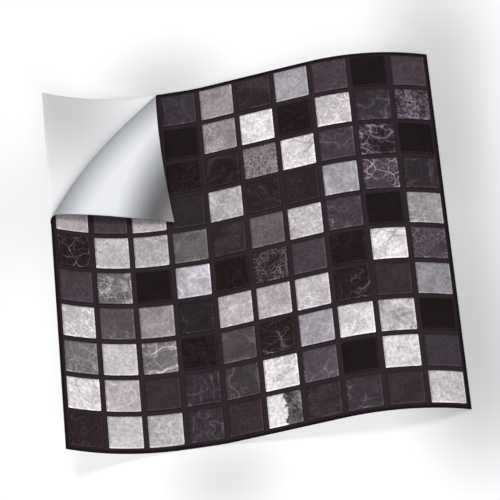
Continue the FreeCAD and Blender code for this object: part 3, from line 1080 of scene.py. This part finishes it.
# the floor's side and its gap under the sheet in metres, and how much of it shines by itself
FLOOR_SIZE = 8.0
FLOOR_GAP = 0.0002
FLOOR_GLOW = 0.35

# painted shadows on the backdrop, as soft grey patches: middle (x, y) in metres, reach along x and y,
# and depth, each faded out at SHADE_END times its reach
SHADE_END = 1.6
PAINTED_SHADOWS = (
    ((-0.047, 0.128), (0.040, 0.035), 0.30),
    ((0.128, 0.115), (0.038, 0.072), 0.36),
    ((0.128, 0.010), (0.038, 0.072), 0.36),
    ((0.128, -0.100), (0.040, 0.072), 0.42),
    ((-0.150, 0.055), (0.040, 0.055), 0.12),
    ((-0.030, -0.150), (0.035, 0.030), 0.24),
)


def show_background(nodes):
    """1 for rays that see the background: from the camera, in a gloss, or through glass."""
    path = nodes.add("ShaderNodeLightPath")
    seen = nodes.math("MAXIMUM", path.outputs["Is Camera Ray"], path.outputs["Is Glossy Ray"])
    return nodes.math("MAXIMUM", seen, path.outputs["Is Transmission Ray"])


def floor():
    """A plain white floor that keeps the sheet's shadow, with soft grey painted shadows."""
    half = FLOOR_SIZE / 2
    square = ((-half, -half), (half, -half), (half, half), (-half, half))
    corners = [(x, y, -FLOOR_GAP) for x, y in square]
    material, nodes, lit = new_material("floor_white")
    place_on = nodes.add("ShaderNodeNewGeometry").outputs["Position"]
    light = 1.0
    # each painted shadow takes its depth off the floor's brightness
    for (x, y), (reach_x, reach_y), depth in PAINTED_SHADOWS:
        away = nodes.vector("SUBTRACT", place_on, (x, y, 0.0))
        scaled = nodes.vector("MULTIPLY", away, (1 / reach_x, 1 / reach_y, 0.0))
        patch = nodes.between(nodes.length(scaled), SHADE_END, 0.0)
        light = nodes.math("SUBTRACT", light, nodes.times(patch, depth))
    colour = nodes.add("ShaderNodeCombineColor")
    for channel in ("Red", "Green", "Blue"):
        nodes.feed(colour.inputs[channel], light)
    glow = nodes.add("ShaderNodeEmission")
    nodes.feed(glow.inputs["Color"], colour.outputs["Color"])
    nodes.feed(lit.inputs["Base Color"], colour.outputs["Color"])
    lit.inputs["Roughness"].default_value = 1.0
    lit.inputs["Specular IOR Level"].default_value = 0.0
    mixed = nodes.add("ShaderNodeMixShader")
    nodes.feed(mixed.inputs["Fac"], nodes.times(show_background(nodes), FLOOR_GLOW))
    nodes.tree.links.new(lit.outputs["BSDF"], mixed.inputs[1])
    nodes.tree.links.new(glow.outputs["Emission"], mixed.inputs[2])
    output = nodes.tree.nodes["Material Output"]
    nodes.tree.links.new(mixed.outputs["Shader"], output.inputs["Surface"])
    piece = mesh_object("floor", corners, [[0, 1, 2, 3]], [material])


# what a gloss sees of the studio, by the share of a ray that runs along SOFTBOX_AXIS
SOFTBOX_AXIS = (0.26, 0.82, -0.51)
STUDIO = (
    (-0.30, (0.06, 0.055, 0.058, 1.0)),
    (-0.17, (0.10, 0.10, 0.11, 1.0)),
    (-0.08, (0.34, 0.37, 0.42, 1.0)),
    (0.02, (1.0, 1.0, 1.0, 1.0)),
    (0.17, (1.0, 1.0, 1.0, 1.0)),
    (0.27, (0.42, 0.43, 0.45, 1.0)),
    (0.50, (0.34, 0.34, 0.35, 1.0)),
)
HORIZON = (0.45, 0.45, 0.46, 1.0)
HORIZON_BAND = (0.30, 0.10)
WHITE = (1.0, 1.0, 1.0, 1.0)
FILL = (0.96, 0.96, 1.0, 1.0)
FILL_STRENGTH = 0.5


def world():
    """A studio: a bright softbox up and behind between dark flats, with a plain fill light."""
    made = bpy.data.worlds.new("studio")
    made.use_nodes = True
    bpy.context.scene.world = made
    nodes = Nodes(made.node_tree)
    direction = nodes.add("ShaderNodeTexCoord").outputs["Generated"]
    facing = nodes.add("ShaderNodeVectorMath", operation="DOT_PRODUCT")
    nodes.feed(facing.inputs[0], direction)
    facing.inputs[1].default_value = Vector(SOFTBOX_AXIS).normalized()
    horizon = nodes.between(nodes.parts(direction)["Z"], *HORIZON_BAND)
    sky = nodes.mix(horizon, nodes.ramp(facing.outputs["Value"], STUDIO), HORIZON)
    shown = nodes.tree.nodes["Background"]
    camera_ray = nodes.add("ShaderNodeLightPath").outputs["Is Camera Ray"]
    nodes.feed(shown.inputs["Color"], nodes.mix(camera_ray, sky, WHITE))
    dim = nodes.add("ShaderNodeBackground")
    dim.inputs["Color"].default_value = FILL
    dim.inputs["Strength"].default_value = FILL_STRENGTH
    mixed = nodes.add("ShaderNodeMixShader")
    nodes.feed(mixed.inputs["Fac"], show_background(nodes))
    nodes.tree.links.new(dim.outputs["Background"], mixed.inputs[1])
    nodes.tree.links.new(shown.outputs["Background"], mixed.inputs[2])
    output = nodes.tree.nodes["World Output"]
    nodes.tree.links.new(mixed.outputs["Shader"], output.inputs["Surface"])


def area_lamp(name, at, size, power, colour, glossy=True):
    """A square soft lamp that faces the middle of the sheet."""
    data = bpy.data.lights.new(name, "AREA")
    data.size = size
    data.energy = power
    data.color = colour
    lamp = bpy.data.objects.new(name, data)
    lamp.location = at
    lamp.rotation_euler = (-Vector(at)).to_track_quat("-Z", "Y").to_euler()
    lamp.visible_glossy = glossy
    bpy.context.scene.collection.objects.link(lamp)


def lights():
    """Soft light from in front, and from behind for the shadow along the near edge."""
    area_lamp("front", (0.15, -0.95, 0.75), size=0.7, power=6.0, colour=(1.0, 0.98, 0.97))
    behind = (-0.12, 0.38, 1.25)
    area_lamp("behind", behind, size=0.45, power=6.8, colour=(1.0, 0.98, 0.99), glossy=False)


# the photo's view: the camera's place in metres, where it looks, its up direction and its lens
EYE_AT = (0.19697, -1.10989, 1.98661)
EYE_FORWARD = (-0.08704, 0.48738, -0.86884)
EYE_UP = (0.14403, 0.86914, 0.47313)
EYE_LENS = 263.7


def camera():
    """The photo's view: from in front and high up, a long lens."""
    data = bpy.data.cameras.new("camera")
    data.lens = EYE_LENS
    data.sensor_width = 36.0
    data.clip_start = 0.1
    data.clip_end = 30.0
    eye = bpy.data.objects.new("camera", data)
    eye.location = EYE_AT
    forward = Vector(EYE_FORWARD).normalized()
    right = forward.cross(Vector(EYE_UP)).normalized()
    eye.rotation_mode = "QUATERNION"
    turned = Matrix((right, right.cross(forward), -forward)).transposed()
    eye.rotation_quaternion = turned.to_quaternion()
    bpy.context.scene.collection.objects.link(eye)
    bpy.context.scene.camera = eye


def build():
    """Every visible piece, each standing for its node and riding on the one body."""
    film_materials = [grout_material(), silver_material()]
    pieces = {
        "release_liner": layer("liner_sheet", 0, LINER, place, False, [liner_material()] * 2),
        "film": layer("film_sheet", LINER, FILM_TOP, folded, True, film_materials),
    }
    for letter, node in STONE_NODES.items():
        members = [
            (column, row)
            for row in range(ROWS)
            for column in range(COLUMNS)
            if look_of(column, row)[0] == letter
        ]
        pieces[node] = stone_piece("gel_" + node, members)
    for node, piece in pieces.items():
        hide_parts(node)
        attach(piece, "root")


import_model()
bpy.context.scene.view_settings.view_transform = "Standard"
camera()
build()
floor()
world()
lights()
